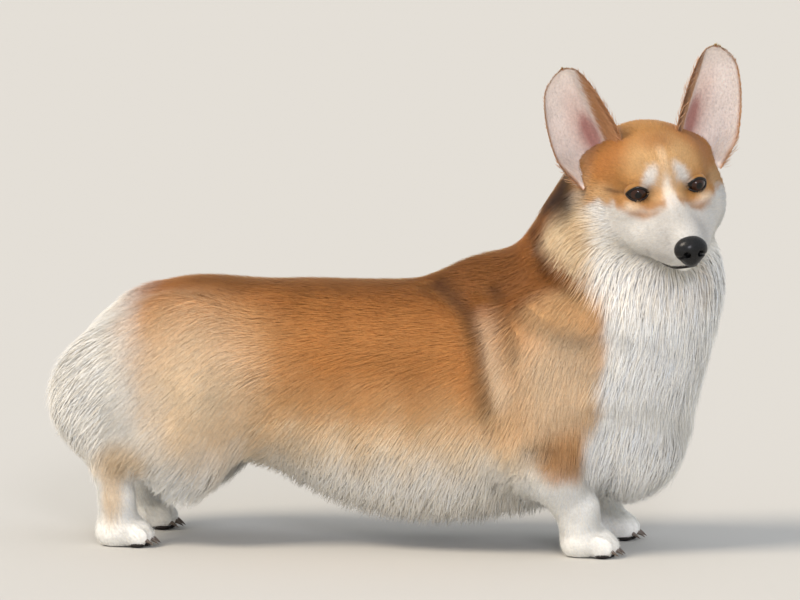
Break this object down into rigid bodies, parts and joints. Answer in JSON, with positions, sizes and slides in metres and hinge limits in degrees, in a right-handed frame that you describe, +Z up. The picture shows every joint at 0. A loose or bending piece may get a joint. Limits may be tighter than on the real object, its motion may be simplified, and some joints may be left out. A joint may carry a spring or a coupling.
{
  "type": "pembroke welsh corgi",
  "caption": "Life-size standing dog with long low body, short legs, erect ears and head turned to its right; a still model, with fringed coat.",
  "frame": {"origin": "middle of the bounding box, at the level of the soles", "axes": "+X forward along the body towards the chest, +Y to the dog's left, +Z up"},
  "size_m": [0.694, 0.2464, 0.5061],
  "materials": {
    "coat_red": "dense red-fawn fur",
    "coat_white": "long white fur",
    "coat_sand": "pale sandy fur",
    "nose_leather": "black, damp and finely pebbled",
    "eye": "dark brown, glassy",
    "claw": "dark horn"
  },
  "bodies": {
    "root": {"torso": "coat_red", "neck": "coat_white", "tail": "coat_red", "head": "coat_red", "jaw": "coat_white", "nose": "nose_leather", "ear_left": "coat_sand", "ear_right": "coat_sand", "eye_left": "eye", "eye_right": "eye", "foreleg_left": "coat_sand", "foreleg_right": "coat_sand", "forepaw_left": "coat_white", "forepaw_right": "coat_white", "thigh_left": "coat_sand", "thigh_right": "coat_sand", "hock_left": "coat_white", "hock_right": "coat_white", "hindpaw_left": "coat_white", "hindpaw_right": "coat_white"}
  },
  "joints": []
}
